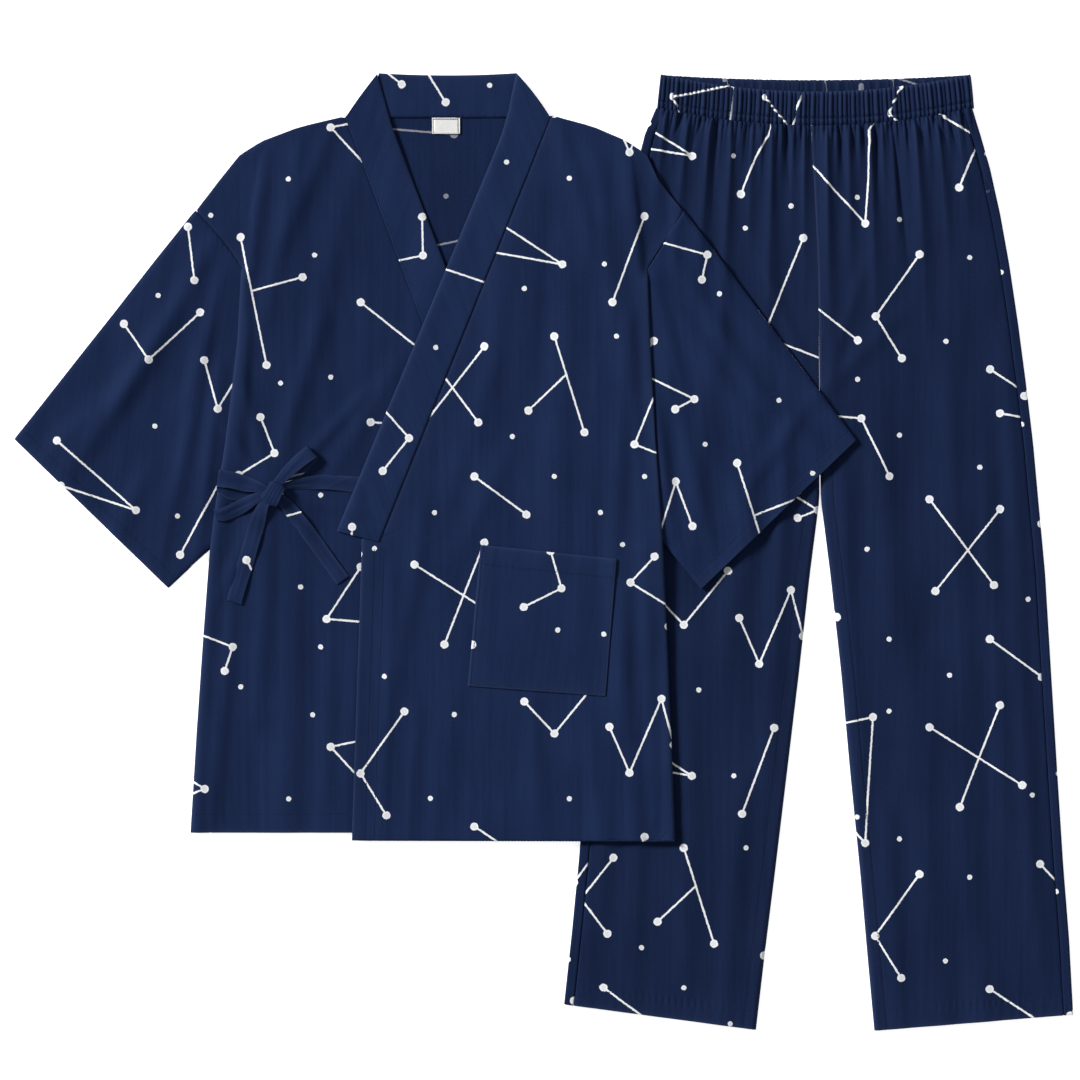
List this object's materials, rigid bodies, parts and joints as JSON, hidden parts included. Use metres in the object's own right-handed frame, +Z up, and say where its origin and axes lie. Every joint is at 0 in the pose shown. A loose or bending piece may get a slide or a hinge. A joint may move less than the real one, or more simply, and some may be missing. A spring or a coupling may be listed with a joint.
{
  "type": "jinbei set",
  "caption": "Wrap jacket with a side bow and wide drop-shoulder sleeves, laid flat over one leg of its loose elastic-waist trousers; navy cotton with a white star-and-line print.",
  "frame": {"origin": "middle of the underside of the laid-out set, on the surface it lies on", "axes": "+Z up from the surface; +Y towards the collar and the waistband; +X from the jacket towards the trousers, to the right of someone who looks down at the set"},
  "size_m": [1.0588, 0.958, 0.0153],
  "materials": {
    "printed_cotton": "matt plain-weave cotton, navy, printed with small white stars joined by fine white lines",
    "label_cloth": "white woven label, blank"
  },
  "bodies": {
    "root": {"trousers_back_right": "printed_cotton", "trousers_front_right": "printed_cotton", "trousers_back_left": "printed_cotton", "trousers_front_left": "printed_cotton", "waistband": "printed_cotton", "jacket_back": "printed_cotton", "jacket_front_right": "printed_cotton", "jacket_front_left": "printed_cotton", "sleeve_right": "printed_cotton", "sleeve_left": "printed_cotton", "collar_back": "printed_cotton", "collar_right": "printed_cotton", "collar_left": "printed_cotton", "pocket": "printed_cotton", "neck_label": "label_cloth", "tie_tail_right": "printed_cotton", "tie_tail_left": "printed_cotton", "tie_right": "printed_cotton", "tie_left": "printed_cotton", "bow_loop_right": "printed_cotton", "bow_loop_left": "printed_cotton", "bow_knot": "printed_cotton"}
  },
  "joints": []
}
